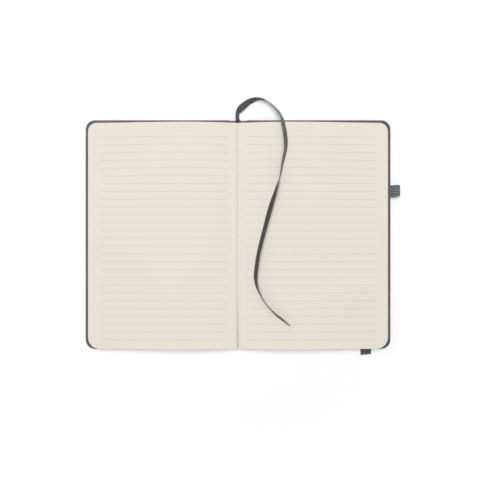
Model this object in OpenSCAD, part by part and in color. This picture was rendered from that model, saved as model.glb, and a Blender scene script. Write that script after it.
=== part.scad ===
// Hard-cover ruled notebook, lying open in the middle with both covers flat.
// X points to the right-hand page, Y to the head of the book and Z up.
// The origin is the middle of the underside of the spine.

/* [Cover] */
// Height of the cover from head to tail
cover_h = 210; // [190:1:230]
// Width of one half of the open book, from the gutter to the fore-edge
half_w = 140; // [130:1:160]
// Radius of the rounded cover corners
cover_corner_r = 8.5; // [7:0.5:14]
// Thickness of the grey board
board_t = 2; // [1.6:0.1:3]
// Thickness of the coated wrap and of its turned-in edges
skin_t = 0.3; // [0.2:0.05:0.5]
// Width of the turned-in edges
turn_in_w = 15; // [10:1:20]
// Free wrap between a board and its hinge line
joint_w = 1.5; // [1:0.1:3]

/* [Spine] */
// Thickness of the card strip in the spine
strip_t = 0.5; // [0.3:0.1:1]
// Thickness of the woven lining glued along the spine
lining_t = 0.3; // [0.2:0.05:0.5]
// How far the spine stops short of the cover at head and tail
spine_inset = 0.2; // [0:0.1:3]

/* [Leaves] */
// Thickness of the leaves on each cover, at their crest
leaves_t = 5.7; // [4:0.1:9]
// Thickness of the leaves on each cover, at the fore-edge
fore_leaves_t = 4.8; // [3:0.1:8]
// Thickness of the leaves over the lining, at the bottom of the gutter
gutter_t = 4; // [1.8:0.1:4.5]
// Width of the tight fold in which the leaves turn up out of the gutter
fold_w = 3; // [2:0.5:7]
// How far the leaves at the end of that fold lie below their crest
shoulder_drop = 0.6; // [0:0.1:2]
// Distance of the crest from the gutter
crest_x = 40; // [20:1:60]
// Thickness of the loose upper leaves when they are pressed flat
loose_t = 0.3; // [0.2:0.1:1]
// How far the loose leaves arch up off the others while the book lies open
arch_h = 3.4; // [0.5:0.1:6]
// Cover left bare beyond the leaves at the head
head_square = 3.9; // [1:0.1:5]
// Cover left bare beyond the leaves at the tail
tail_square = 0.9; // [0.5:0.1:5]
// Cover left bare beyond the lowest leaf at the fore-edge
fore_square = 2.4; // [1:0.1:5]
// How much further in the uppermost leaf ends than the lowest one
fan_w = 3.5; // [0:0.5:8]
// Radius of the rounded leaf corners
leaf_corner_r = 6.5; // [3:0.5:12]
// Thickness of each endpaper
endpaper_t = 0.2; // [0.1:0.05:0.4]

/* [Ruling] */
// Distance between ruled lines
line_pitch = 7.05; // [5:0.05:10]
// Distance from the head of the leaves to the first line
first_line = 13; // [8:0.5:18]
// Least distance from the last line to the tail of the leaves
last_line = 8; // [5:0.5:20]
// Width of a printed line
line_w = 0.3; // [0.2:0.05:0.6]
// Film thickness of a printed line
line_t = 0.04; // [0.03:0.01:0.08]
// Plain margin between the end of a line and the fore-edge of the top leaf
line_margin = 9; // [4:0.5:20]

/* [Closure band] */
// Width of the elastic band
band_w = 10; // [6:0.5:14]
// Thickness of the elastic band
band_t = 0.5; // [0.4:0.1:0.9]
// Distance of the band's middle from the fore-edge of the cover
band_inset = 22; // [18:1:40]
// Distance of the two slots from the head and the tail of the cover
slot_inset = 8; // [5:0.5:14]
// How far the slack band reaches past the tail of the cover
tab_reach = 6; // [2:0.5:12]
// Length of each band end glued under the endpaper
band_tuck = 22; // [12:1:26]

/* [Pen loop] */
// Width of the elastic loop, along the fore-edge
loop_w = 10.5; // [8:0.5:16]
// Thickness of the elastic
loop_t = 0.7; // [0.5:0.05:0.9]
// How far the loop stands out of the fore-edge
loop_reach = 9.2; // [9:0.1:14]
// Outer height of the loop
loop_h = 6.7; // [6.2:0.1:10]
// Height of the loop's middle above the underside of the cover
loop_z = 2.6; // [1.5:0.1:5]
// Distance of the loop's middle from the head of the cover
loop_drop = 64.5; // [50:0.5:150]
// Length of the loop's ends glued under the endpaper
loop_tuck = 12; // [8:1:20]

/* [Ribbon marker] */
// Width of the ribbon
ribbon_w = 6; // [4:0.5:8]
// Thickness of the ribbon
ribbon_t = 0.35; // [0.2:0.05:0.5]

/* [Fit] */
// Gap between the two halves of the leaves when the book is shut
shut_gap = 0.2; // [0.1:0.05:1]
// Clearance of what is set into a pocket or slides past a neighbour
fit_gap = 0.05; // [0.02:0.01:0.15]

/* [Hidden] */
$fn = 48;

// Overshoot of a cutting shape past the face that it cuts
over = 1;

// Levels, from the underside up
board_z = skin_t;
turn_in_z = board_z + board_t;
endpaper_z = turn_in_z + skin_t;
cover_t = endpaper_z + endpaper_t;
crest_z = cover_t + leaves_t;
fore_z = cover_t + fore_leaves_t;
hinge_z = skin_t + strip_t + max(skin_t, lining_t);
gutter_z = hinge_z + gutter_t;
shoulder_z = crest_z - shoulder_drop;

// The spine is as wide as the shut book is thick between its two hinge lines
spine_w = 2 * (crest_z + shut_gap / 2 - hinge_z);
hinge_x = spine_w / 2;
spine_h = cover_h - 2 * spine_inset;
board_x = hinge_x + joint_w;
leaf_x = hinge_x + fit_gap;

// Outline of the leaves
leaf_edge = half_w - fore_square;
leaf_head = cover_h / 2 - head_square;
leaf_tail = -cover_h / 2 + tail_square;
top_edge = leaf_edge - fan_w;

// Places of the band, its slots and the pen loop
band_x = half_w - band_inset;
slot_y = cover_h / 2 - slot_inset;
loop_y = cover_h / 2 - loop_drop;

// Film around a cutting plate in the fan of the leaves
plate_t = 0.01;

// Ribbon route: x, y, z and the tilt of the ribbon about its own line, in degrees.
// It leaves the spine at the head, turns beyond the cover and comes back over the right page.
RIBBON = [
    [0, 90, 1.35, 0],
    [0, 96, 1.4, 0],
    [0, 101.7, 1.6, 4],
    [-0.6, 104.6, 4.1, 57],
    [-0.6, 108.2, 4.2, 60],
    [-0.1, 112.2, 4, 60],
    [3.2, 116.4, 3.1, 32],
    [9.4, 121.4, 2.4, 49],
    [13.9, 123.4, 2.5, 63],
    [17.6, 124.3, 2.8, 79],
    [22.6, 124, 2.8, 94],
    [27.6, 122, 3, 106],
    [32.5, 117.7, 3.9, 112],
    [35.9, 112.8, 7, 115],
    [38.8, 106, 12, 119],
    [40.1, 101.3, 14.6, 123],
    [40.9, 97, 14.7, 126],
    [41.9, 92.2, 14.7, 128],
    [42.6, 86.2, 14.6, 128],
    [42.9, 80.4, 14.7, 124],
    [42.3, 74.2, 14.8, 117],
    [40.2, 64.8, 14.9, 112],
    [37.8, 52.2, 15, 98],
    [35.6, 45.1, 14.9, 80],
    [33.5, 37.9, 14.6, 68],
    [29.1, 23.6, 13.9, 54],
    [25.2, 9.2, 13.5, 58],
    [21.4, -5.1, 13.2, 61],
    [18.1, -19.6, 12.8, 61],
    [16.1, -34, 12.5, 61],
    [16, -41.7, 12.6, 66],
    [17.5, -48.4, 13, 75],
    [20.9, -55.6, 13.6, 84],
    [25.5, -62.7, 14.1, 86],
    [31.7, -69.8, 14.5, 80],
    [38.2, -75.2, 14.8, 78],
    [45.7, -81, 15.1, 84]
];
// Rings laid between two route points
ring_steps = 2;
// Height of the channel that the ribbon leaves the gutter through
ribbon_slot_h = 1.2;

// Height of the pressed leaves at a distance from the gutter: a tight fold, a slow rise
// to the crest and a slow fall to the fore-edge
function page_z(u) =
    u < fold_w
        ? gutter_z + (shoulder_z - gutter_z) * sqrt(1 - pow(1 - u / fold_w, 2))
        : u < crest_x
            ? crest_z - shoulder_drop * pow((crest_x - u) / (crest_x - fold_w), 2)
            : crest_z - (crest_z - fore_z) * pow((u - crest_x) / (top_edge - crest_x), 2);

// How far the loose leaves stand up there, from nothing at the gutter and the fore-edge
function arch(u) = arch_h * pow(sin(180 * pow(min(u / top_edge, 1), 0.7)), 2);

// Distances from the gutter at which the leaves are drawn
page_steps = [for (i = [0:12]) leaf_x + (leaf_edge - leaf_x) * pow(i / 12, 1.25)];

// Sections as points: the pressed leaves under the loose ones, and the open page
function bed_line(steps) = [for (u = steps) [u, page_z(u) - loose_t]];
function page_line(steps, rise) = [for (u = steps) [u, page_z(u) + arch(u) + rise]];

function reversed(list) = [for (i = [len(list) - 1:-1:0]) list[i]];

// One smooth curve through four values, at a share t between the middle two
function smooth(a, b, c, d, t) =
    b + 0.5 * t * (c - a + t * (2 * a - 5 * b + 4 * c - d + t * (3 * (b - c) + d - a)));

function route_point(list, i) = list[min(max(i, 0), len(list) - 1)];

// Route with extra points on the smooth curve between the chosen ones
function smooth_route(list, n) = concat(
    [for (i = [0:len(list) - 2], k = [0:n - 1])
        smooth(route_point(list, i - 1), list[i], list[i + 1], route_point(list, i + 2), k / n)],
    [list[len(list) - 1]]
);

function place(p) = [p.x, p.y, p.z];
function unit(v) = v / norm(v);
function heading(route, i) =
    unit(place(route_point(route, i + 1)) - place(route_point(route, i - 1)));

// Section of a flat ribbon with softened edges, across its width and its thickness
function ribbon_section(w, t) = [
    [w / 2, -t / 4], [w / 2, t / 4], [w / 2 - t / 2, t / 2], [t / 2 - w / 2, t / 2],
    [-w / 2, t / 4], [-w / 2, -t / 4], [t / 2 - w / 2, -t / 2], [w / 2 - t / 2, -t / 2]
];

// The section set across the route at one point and tilted about it
function ribbon_ring(route, i, section) =
    let (
        along = heading(route, i),
        level = unit(cross([0, 0, 1], along)),
        above = cross(along, level),
        tilt = route[i][3],
        across = level * cos(tilt) + above * sin(tilt),
        face = above * cos(tilt) - level * sin(tilt)
    )
    [for (p = section) place(route[i]) + across * p.x + face * p.y];

// Half of a book part in plan: square at the gutter side, rounded at the fore-edge
module half_plan(from, to, tail, head, r) {
    translate([from, tail]) square([to - from - r, head - tail]);
    translate([from, tail + r]) square([to - from, head - tail - 2 * r]);
    for (y = [tail + r, head - r]) translate([to - r, y]) circle(r);
}

// Plan of the cover over its board, drawn in from its edges by an inset
module cover_plan(inset) {
    edge = cover_h / 2 - inset;
    half_plan(board_x, half_w - inset, -edge, edge, max(cover_corner_r - inset, fit_gap));
}

// Plan of a leaf whose fore-edge ends at a given distance from the gutter
module leaf_plan(edge) {
    half_plan(leaf_x, edge, leaf_tail, leaf_head, leaf_corner_r);
}

// A section drawn in X and Z, pulled along Y from tail to head
module pull_y(tail, head) {
    translate([0, head, 0]) rotate([90, 0, 0]) linear_extrude(head - tail) children();
}

// A section drawn in Y and Z, pulled along X about a middle
module pull_x(middle, width) {
    translate([middle - width / 2, 0, 0]) rotate([90, 0, 90]) linear_extrude(width) children();
}

// Pocket for the loop's doubled end, open at the fore-edge
module loop_pocket() {
    width = loop_w + 2 * fit_gap;
    translate([half_w - loop_tuck - fit_gap, loop_y - width / 2, endpaper_z - 2 * loop_t])
        cube([loop_tuck + fit_gap + over, width, 2 * loop_t]);
}

// Pockets for the two band ends, and the slots that lead down from them
module band_pockets() {
    width = band_w + 2 * fit_gap;
    slot = band_t + 2 * fit_gap;
    for (side = [-1, 1]) {
        near = side * (slot_y - band_tuck - fit_gap);
        far = side * (slot_y + slot / 2);
        translate([band_x - width / 2, min(near, far), endpaper_z - band_t])
            cube([width, abs(far - near), band_t]);
        translate([band_x - width / 2, side * slot_y - slot / 2, -over])
            cube([width, slot, endpaper_z + over]);
    }
}

// Grey board of one cover
module plain_board() {
    translate([0, 0, board_z]) linear_extrude(board_t) cover_plan(skin_t);
}

// Wrap of one cover: outer face, edges and turn-ins around the board, and the free joint
module plain_skin() {
    difference() {
        linear_extrude(endpaper_z) cover_plan(0);
        translate([0, 0, board_z]) linear_extrude(board_t) cover_plan(skin_t);
        translate([0, 0, board_z]) linear_extrude(board_t + skin_t + over) cover_plan(turn_in_w);
    }
    translate([hinge_x, -cover_h / 2, 0]) cube([joint_w, cover_h, skin_t]);
    for (y = [-cover_h / 2, cover_h / 2 - turn_in_w])
        translate([hinge_x, y, skin_t]) cube([joint_w, turn_in_w, skin_t]);
}

// Endpaper of one cover, with the filling sheet that levels the turn-ins
module plain_endpaper() {
    translate([0, 0, endpaper_z]) linear_extrude(endpaper_t) leaf_plan(leaf_edge);
    translate([0, 0, turn_in_z]) linear_extrude(skin_t) cover_plan(turn_in_w + fit_gap);
}

// Leaves lying pressed on one cover, fanned at the fore-edge
module leaves() {
    intersection() {
        pull_y(leaf_tail, leaf_head)
            polygon(concat(bed_line(page_steps), [[leaf_edge, cover_t], [leaf_x, cover_t]]));
        hull() {
            translate([0, 0, cover_t]) linear_extrude(plate_t) leaf_plan(leaf_edge);
            translate([0, 0, crest_z]) linear_extrude(plate_t) leaf_plan(top_edge);
        }
    }
}

// Upper leaves that arch up off the others while the book lies open
module loose_leaves() {
    intersection() {
        pull_y(leaf_tail, leaf_head)
            polygon(concat(page_line(page_steps, 0), reversed(bed_line(page_steps))));
        linear_extrude(crest_z + arch_h + over) leaf_plan(top_edge);
    }
}

// Printed lines of one page, as thin films that follow the page surface
module ruling() {
    line_end = top_edge - line_margin;
    for (y = [leaf_head - first_line:-line_pitch:leaf_tail + last_line])
        pull_y(y - line_w / 2, y + line_w / 2) intersection() {
            polygon(concat(page_line(page_steps, line_t), reversed(page_line(page_steps, 0))));
            translate([leaf_x + line_w, 0])
                square([line_end - leaf_x - line_w, crest_z + arch_h + over]);
        }
}

// Parts of the back cover, under the right-hand page
module back_board() {
    color("tan") difference() {
        plain_board();
        loop_pocket();
        band_pockets();
    }
}

module back_cover_skin() {
    color("dimgray") difference() {
        plain_skin();
        loop_pocket();
        band_pockets();
    }
}

module back_endpaper() {
    color("oldlace") difference() {
        plain_endpaper();
        loop_pocket();
        band_pockets();
    }
}

module right_leaves() {
    color("antiquewhite") leaves();
}

module right_loose_leaves() {
    color("ivory") loose_leaves();
}

module right_ruling() {
    color("lightsteelblue") ruling();
}

// Outline of the pen loop in X and Z: an ellipse drawn to a point at the cover
module loop_outline(inset) {
    tail_z = endpaper_z - loop_t;
    start = half_w + fit_gap;
    reach = (half_w + loop_reach - start) / 2;
    polygon([for (a = [0:10:350]) [
        start + reach + (reach - inset) * cos(a),
        loop_z + (tail_z - loop_z) * (1 - cos(a)) / 2
            + (loop_h / 2 - inset) * sin(a) * pow(abs(cos(a / 2)), 0.35) * 1.09
    ]]);
}

// Elastic pen loop, with its two ends laid together under the endpaper
module pen_loop() {
    color("gray") pull_y(loop_y - loop_w / 2, loop_y + loop_w / 2) difference() {
        union() {
            loop_outline(0);
            translate([half_w - loop_tuck, endpaper_z - 2 * loop_t])
                square([loop_tuck + 2 * loop_t, 2 * loop_t]);
        }
        loop_outline(loop_t);
    }
}

// Closure band at rest behind the back cover: from the head slot along the underside,
// past the tail in a flat fold, and back to the tail slot
module closure_band() {
    fold_y = -cover_h / 2 - tab_reach + band_t;
    dip_y = -slot_y + 2 * slot_inset;
    color("dimgray") pull_x(band_x, band_w) {
        for (side = [-1, 1]) {
            near = side * (slot_y - band_tuck);
            far = side * (slot_y + band_t / 2);
            translate([min(near, far), endpaper_z - band_t]) square([abs(far - near), band_t]);
            translate([side * slot_y - band_t / 2, -band_t]) square([band_t, endpaper_z + band_t]);
        }
        translate([dip_y, -band_t]) square([slot_y + band_t / 2 - dip_y, band_t]);
        polygon([
            [dip_y, 0], [dip_y - slot_inset, -band_t],
            [dip_y - slot_inset, -2 * band_t], [dip_y, -band_t]
        ]);
        translate([fold_y, -2 * band_t]) square([dip_y - slot_inset - fold_y, band_t]);
        translate([fold_y, -band_t]) square([-slot_y + band_t / 2 - fold_y, band_t]);
        translate([fold_y, -band_t]) circle(band_t);
    }
}

// Ribbon marker, swept along its route as one flat band
module ribbon_marker() {
    route = smooth_route(RIBBON, ring_steps);
    section = ribbon_section(ribbon_w, ribbon_t);
    n = len(section);
    last = len(route) - 1;
    color("darkslategray") polyhedron(
        points = [for (i = [0:last]) each ribbon_ring(route, i, section)],
        faces = concat(
            [[for (k = [0:n - 1]) k]],
            [[for (k = [n - 1:-1:0]) last * n + k]],
            [for (i = [0:last - 1], k = [0:n - 1], half = [0, 1])
                let (a = i * n + k, b = i * n + (k + 1) % n)
                half == 0 ? [a, a + n, b] : [b, a + n, b + n]]
        )
    );
}

// Parts of the spine
module spine_strip() {
    width = spine_w - 2 * joint_w;
    length = spine_h - 2 * skin_t;
    color("tan") translate([-width / 2, -length / 2, skin_t]) cube([width, length, strip_t]);
}

module spine_skin() {
    strip_w = spine_w - 2 * joint_w;
    color("dimgray") {
        translate([-hinge_x, -spine_h / 2, 0]) cube([spine_w, spine_h, skin_t]);
        for (turn = [0, 180]) rotate([0, 0, turn]) {
            translate([-strip_w / 2, spine_h / 2 - skin_t, 0])
                cube([strip_w, skin_t, skin_t + strip_t + skin_t]);
            translate([-strip_w / 2, spine_h / 2 - turn_in_w, skin_t + strip_t])
                cube([strip_w, turn_in_w, skin_t]);
            for (x = [-hinge_x, hinge_x - joint_w])
                translate([x, spine_h / 2 - turn_in_w, skin_t]) cube([joint_w, turn_in_w, skin_t]);
        }
    }
}

module spine_lining() {
    width = spine_w - 2 * fit_gap;
    length = spine_h - 2 * (turn_in_w + fit_gap);
    color("white") translate([-width / 2, -length / 2, hinge_z - lining_t])
        cube([width, length, lining_t]);
}

// Leaves where they bend over the spine, with a channel for the ribbon at the head
module gutter_leaves() {
    right = page_line([for (i = [0:8]) hinge_x * pow(i / 8, 2)], 0);
    left = [for (p = reversed(right)) [-p.x, p.y]];
    color("antiquewhite") difference() {
        pull_y(leaf_tail, leaf_head) polygon(concat(
            left, [for (i = [1:8]) right[i]], [[hinge_x, hinge_z], [-hinge_x, hinge_z]]
        ));
        translate([-ribbon_w / 2 - fit_gap, RIBBON[0].y - fit_gap, hinge_z - over])
            cube([ribbon_w + 2 * fit_gap, cover_h, over + ribbon_slot_h]);
    }
}

// Parts of the front cover, under the left-hand page
module front_board() {
    color("tan") mirror([1, 0, 0]) plain_board();
}

module front_cover_skin() {
    color("dimgray") mirror([1, 0, 0]) plain_skin();
}

module front_endpaper() {
    color("oldlace") mirror([1, 0, 0]) plain_endpaper();
}

module left_leaves() {
    color("antiquewhite") mirror([1, 0, 0]) leaves();
}

module left_loose_leaves() {
    color("ivory") mirror([1, 0, 0]) loose_leaves();
}

module left_ruling() {
    color("lightsteelblue") mirror([1, 0, 0]) ruling();
}

back_board();
back_cover_skin();
back_endpaper();
right_leaves();
right_loose_leaves();
right_ruling();
pen_loop();
closure_band();
ribbon_marker();
spine_strip();
spine_skin();
spine_lining();
gutter_leaves();
front_board();
front_cover_skin();
front_endpaper();
left_leaves();
left_loose_leaves();
left_ruling();
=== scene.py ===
# %% [markdown]
# # An open ruled notebook
# This lesson dresses a hard-cover notebook that lies open in the middle, with a ribbon marker,
# an elastic closure band and an elastic pen loop. The solid part comes from a CAD model. Here each
# visible piece gets its soft form and its finish, and most pieces ride on the body that carries
# them.
#
# We start by loading the imported part as a fixed frame. Its box is kept.

# %% Load the frame
import math
import bmesh
import bpy
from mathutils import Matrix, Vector


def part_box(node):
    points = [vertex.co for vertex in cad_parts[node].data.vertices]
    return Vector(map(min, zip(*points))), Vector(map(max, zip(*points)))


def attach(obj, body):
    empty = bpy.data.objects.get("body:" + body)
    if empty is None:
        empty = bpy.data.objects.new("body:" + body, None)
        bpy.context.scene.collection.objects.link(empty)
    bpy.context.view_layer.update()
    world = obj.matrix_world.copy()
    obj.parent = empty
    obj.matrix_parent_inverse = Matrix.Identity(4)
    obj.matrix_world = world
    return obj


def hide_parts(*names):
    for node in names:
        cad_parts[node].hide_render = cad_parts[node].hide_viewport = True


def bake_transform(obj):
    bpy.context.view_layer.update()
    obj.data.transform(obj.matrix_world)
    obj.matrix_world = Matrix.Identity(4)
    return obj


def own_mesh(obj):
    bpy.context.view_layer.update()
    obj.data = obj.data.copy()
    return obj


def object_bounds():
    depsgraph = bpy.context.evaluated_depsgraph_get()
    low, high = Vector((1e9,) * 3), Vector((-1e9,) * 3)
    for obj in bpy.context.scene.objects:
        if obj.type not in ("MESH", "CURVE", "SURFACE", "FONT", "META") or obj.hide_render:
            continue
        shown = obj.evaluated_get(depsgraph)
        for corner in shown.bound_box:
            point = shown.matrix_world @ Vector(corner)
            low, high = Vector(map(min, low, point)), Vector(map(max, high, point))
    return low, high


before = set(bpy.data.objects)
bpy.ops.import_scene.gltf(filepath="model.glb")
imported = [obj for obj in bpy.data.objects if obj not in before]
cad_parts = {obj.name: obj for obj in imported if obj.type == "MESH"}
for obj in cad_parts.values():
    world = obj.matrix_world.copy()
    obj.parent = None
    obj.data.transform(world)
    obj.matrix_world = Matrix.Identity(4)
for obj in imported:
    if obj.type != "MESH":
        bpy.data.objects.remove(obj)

cad_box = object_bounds()
MM = 0.001
print("CAD box in mm:", [[round(side / MM, 1) for side in corner] for corner in cad_box])

# %% [markdown]
# ## Sizes
# The places of covers, leaves and spine are read from the frame. What a box can't tell, such as
# the tight fold of the leaves at the gutter and the arch of the loose upper ones, is repeated
# here as a named size with its rule. After the photograph, the leaves begin and end a little
# inside the CAD ones.

# %% Sizes of the book
cover_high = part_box("back_cover_skin")[1]
leaf_low, leaf_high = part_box("right_leaves")
spine_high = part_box("spine_skin")[1]
half_width = cover_high.x
cover_end = cover_high.y
board_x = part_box("back_board")[0].x
hinge_x = spine_high.x
hinge_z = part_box("gutter_leaves")[0].z
leaf_bed = leaf_low.z

GUTTER_Z = 5.1 * MM
FOLD_W = 3 * MM
SHOULDER_DROP = 0.6 * MM
FORE_DROP = 0.9 * MM
CREST_X = 40 * MM
CREST_Z = 8.5 * MM
LOOSE_T = 0.3 * MM
ARCH_H = 3.4 * MM
ARCH_LEAN = 0.7
FAN_W = 2.3 * MM
LEAF_INSET = 0.4 * MM
leaf_start = leaf_low.x + LEAF_INSET
tail_edge = leaf_low.y + LEAF_INSET
top_edge = leaf_high.x - FAN_W
print("half a book:", [round(v / MM, 1) for v in (half_width, cover_end, CREST_Z)], "mm")


def pressed_height(x):
    """Height of the pressed leaves at a distance from the gutter: a tight fold, then a low arch."""
    if x < FOLD_W:
        climb = CREST_Z - SHOULDER_DROP - GUTTER_Z
        return GUTTER_Z + climb * math.sqrt(1 - (1 - x / FOLD_W) ** 2)
    if x < CREST_X:
        return CREST_Z - SHOULDER_DROP * ((CREST_X - x) / (CREST_X - FOLD_W)) ** 2
    return CREST_Z - FORE_DROP * ((x - CREST_X) / (top_edge - CREST_X)) ** 2


def arch(x):
    """How far the loose upper leaves stand up off the pressed ones, most of all near the gutter."""
    return ARCH_H * math.sin(math.pi * min(x / top_edge, 1) ** ARCH_LEAN) ** 2


# %% [markdown]
# ## Camera
# The photograph looks straight down on the book from a little under half a metre. A camera that
# looks down along Z needs no turning, so its place and its lens settle the whole picture.

# %% Camera
CAMERA_PLACE = Vector((7.3, -10.55, 430)) * MM
LENS = 34.08

bpy.ops.object.camera_add(location=CAMERA_PLACE, rotation=(0, 0, 0))
camera = bpy.context.object
camera.name = "camera_over_the_book"
camera.data.lens = LENS
camera.data.sensor_width = 36
camera.data.clip_start = 10 * MM
bpy.context.scene.camera = camera
print("camera looks down from", round(CAMERA_PLACE.z / MM), "mm")

# %% [markdown]
# ## Ribbon marker
# The ribbon is a flat satin tape 6 mm wide. It comes out of the gutter at the head, stands on its
# edge round a loop beyond the cover, and comes down over the right-hand page. A Bezier curve could
# carry it, but its tilt would have to be tuned at each point. So we sweep a line across the tape
# along the same route that the CAD part has, given as points and a tilt in degrees, and then
# give that strip its thickness.

# %% Route of the ribbon
ROUTE = [
    (0, 90, 1.35, 0), (0, 96, 1.4, 0), (0, 101.7, 1.6, 4), (-0.6, 104.6, 4.1, 57),
    (-0.6, 108.2, 4.2, 60), (-0.1, 112.2, 4, 60), (3.2, 116.4, 3.1, 32), (9.4, 121.4, 2.4, 49),
    (13.9, 123.4, 2.5, 63), (17.6, 124.3, 2.8, 79), (22.6, 124, 2.8, 94), (27.6, 122, 3, 106),
    (32.5, 117.7, 3.9, 112), (35.9, 112.8, 7, 120), (38.8, 106, 12, 123),
    (40.1, 101.3, 14.6, 124), (40.9, 97, 14.7, 126), (41.9, 92.2, 14.7, 128),
    (42.6, 86.2, 14.6, 128), (42.9, 80.4, 14.7, 124), (42.3, 74.2, 14.8, 117),
    (40.2, 64.8, 14.9, 112), (37.8, 52.2, 15, 98), (35.6, 45.1, 14.9, 80), (33.5, 37.9, 14.6, 68),
    (29.1, 23.6, 13.9, 54), (25.2, 9.2, 13.5, 58), (21.4, -5.1, 13.2, 61),
    (18.1, -19.6, 12.8, 61), (16.1, -34, 12.5, 61), (16, -41.7, 12.6, 66),
    (17.5, -48.4, 13, 75), (20.9, -55.6, 13.6, 84), (25.5, -62.7, 14.1, 86),
    (31.7, -69.8, 14.5, 79), (38.2, -75.2, 14.8, 72), (45.7, -81, 15.1, 82),
]
RIBBON_W = 6 * MM
RIBBON_T = 0.35 * MM
STEPS = 5


def on_curve(a, b, c, d, t):
    """A smooth curve through b and c, at share t of the way between them."""
    return b + 0.5 * t * (c - a + t * (2 * a - 5 * b + 4 * c - d + t * (3 * (b - c) + d - a)))


def smooth_route(points, steps):
    path = []
    for i in range(len(points) - 1):
        around = [points[min(max(i + k, 0), len(points) - 1)] for k in (-1, 0, 1, 2)]
        for k in range(steps):
            path.append([on_curve(*values, k / steps) for values in zip(*around)])
    return path + [list(points[-1])]


def running_length(points):
    """How far each point of a way is from its start, counted along the way."""
    run = [0.0]
    for a, b in zip(points, points[1:]):
        run.append(run[-1] + (b - a).length)
    return run


path = smooth_route(ROUTE, STEPS)
centres = [Vector(p[:3]) * MM for p in path]
ribbon_run = running_length(centres)
print("ribbon length:", round(ribbon_run[-1] / MM), "mm with", len(centres), "stations")

# %% [markdown]
# A modifier can give a thin strip its thickness. It is applied at once, so that the piece is a
# plain mesh again. Then the faces that meet at a low angle are shaded smooth.

# %% Modifiers and smooth shading
def set_mode(mode):
    bpy.ops.object.mode_set(mode=mode)


def select_nothing():
    """Leaves edit mode, if a piece is in it, and clears the selection."""
    if bpy.context.object and bpy.context.object.mode != "OBJECT":
        set_mode("OBJECT")
    bpy.ops.object.select_all(action="DESELECT")


def choose(piece):
    """Selects this piece alone and makes it the active one."""
    select_nothing()
    piece.select_set(True)
    bpy.context.view_layer.objects.active = piece


def with_modifier(piece, kind, **settings):
    """Adds one modifier with its settings and applies it."""
    modifier = piece.modifiers.new(kind.lower(), kind)
    for name, value in settings.items():
        setattr(modifier, name, value)
    choose(piece)
    bpy.ops.object.modifier_apply(modifier=modifier.name)


def smooth_sides(piece, degrees):
    choose(piece)
    bpy.ops.object.shade_smooth_by_angle(angle=math.radians(degrees))


print("made: choose, with_modifier, smooth_sides")

# %% [markdown]
# The faces of a closed piece should look outwards. The volume that they enclose is then a positive
# number, so each new piece can be tested as soon as it is made.

# %% Test of a piece
def report(piece):
    """Prints the number of faces, and whether they hold the room of the piece inside them."""
    work = bmesh.new()
    work.from_mesh(piece.data)
    volume = work.calc_volume(signed=True)
    print(piece.name, "has", len(work.faces), "faces, facing out:", volume > 0)
    work.free()


report(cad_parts["back_board"])

# %% [markdown]
# At each station a line of seven points lies across the tape. The level direction and the one
# above it are turned by the tilt. The middle of the line is lifted a little, because a woven tape
# cups slightly, and the last line is slanted, as the tape was cut at an angle.

# %% A line across the ribbon
ACROSS = 7
CUP = 0.12 * MM
SLANT = 1.2 * MM


def ribbon_line(i):
    before, after = centres[max(i - 1, 0)], centres[min(i + 1, len(centres) - 1)]
    along = (after - before).normalized()
    level = Vector((0, 0, 1)).cross(along).normalized()
    above = along.cross(level)
    tilt = math.radians(path[i][3])
    across = level * math.cos(tilt) + above * math.sin(tilt)
    face = above * math.cos(tilt) - level * math.sin(tilt)
    line = []
    for k in range(ACROSS):
        share = 2 * k / (ACROSS - 1) - 1
        point = centres[i] + across * share * RIBBON_W / 2 + face * CUP * (1 - share ** 2)
        if i == len(centres) - 1:
            point = point + along * SLANT * share
        line.append(point)
    return line


print("the first line across has", len(ribbon_line(0)), "points")

# %% [markdown]
# The tape is made in two lengths that meet on the table beyond the head: the sewn length from the
# spine, and the free one that lies over the pages.

# %% Ribbon strips
MEET = 7 * STEPS


def ribbon_strip(name, first, last):
    """The tape between two stations, with its map in metres across and along it."""
    points = [p for i in range(first, last + 1) for p in ribbon_line(i)]
    faces = [
        (i * ACROSS + k, i * ACROSS + k + 1, (i + 1) * ACROSS + k + 1, (i + 1) * ACROSS + k)
        for i in range(last - first) for k in range(ACROSS - 1)
    ]
    mesh = bpy.data.meshes.new(name)
    mesh.from_pydata(points, [], faces)
    strip = bpy.data.objects.new(name, mesh)
    bpy.context.collection.objects.link(strip)
    tape_map = mesh.uv_layers.new(name="own_map")
    for loop in mesh.loops:
        i, k = divmod(loop.vertex_index, ACROSS)
        tape_map.data[loop.index].uv = (k / (ACROSS - 1) * RIBBON_W, ribbon_run[first + i])
    with_modifier(strip, "SOLIDIFY", thickness=RIBBON_T, offset=0)
    for face in strip.data.polygons[:len(faces)]:
        face.material_index = 1
    smooth_sides(strip, degrees=50)
    return strip


sewn_ribbon = ribbon_strip("ribbon_sewn_length", 0, MEET)
ribbon = ribbon_strip("ribbon_free_length", MEET, len(centres) - 1)
report(sewn_ribbon)
report(ribbon)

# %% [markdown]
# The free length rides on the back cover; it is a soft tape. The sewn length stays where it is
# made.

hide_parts("ribbon_marker")
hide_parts("ribbon_marker")
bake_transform(sewn_ribbon)
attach(ribbon, "back_cover")
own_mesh(ribbon)
print("the lengths meet", round(ribbon_run[MEET] / MM), "mm from the start of the ribbon")

# %% [markdown]
# ## Blocks and picking
# Most pieces are modelled as by hand, from a block or a plane. Its place and size go into its
# mesh, so that the object stays at the origin. In edit mode we pick some corners, edges or faces
# by their place or by the side that they look to, and shift, stretch or extrude them.

# %% Blocks and picking
CLOSE = 0.02 * MM
STRAIGHT = 0.9


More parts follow.
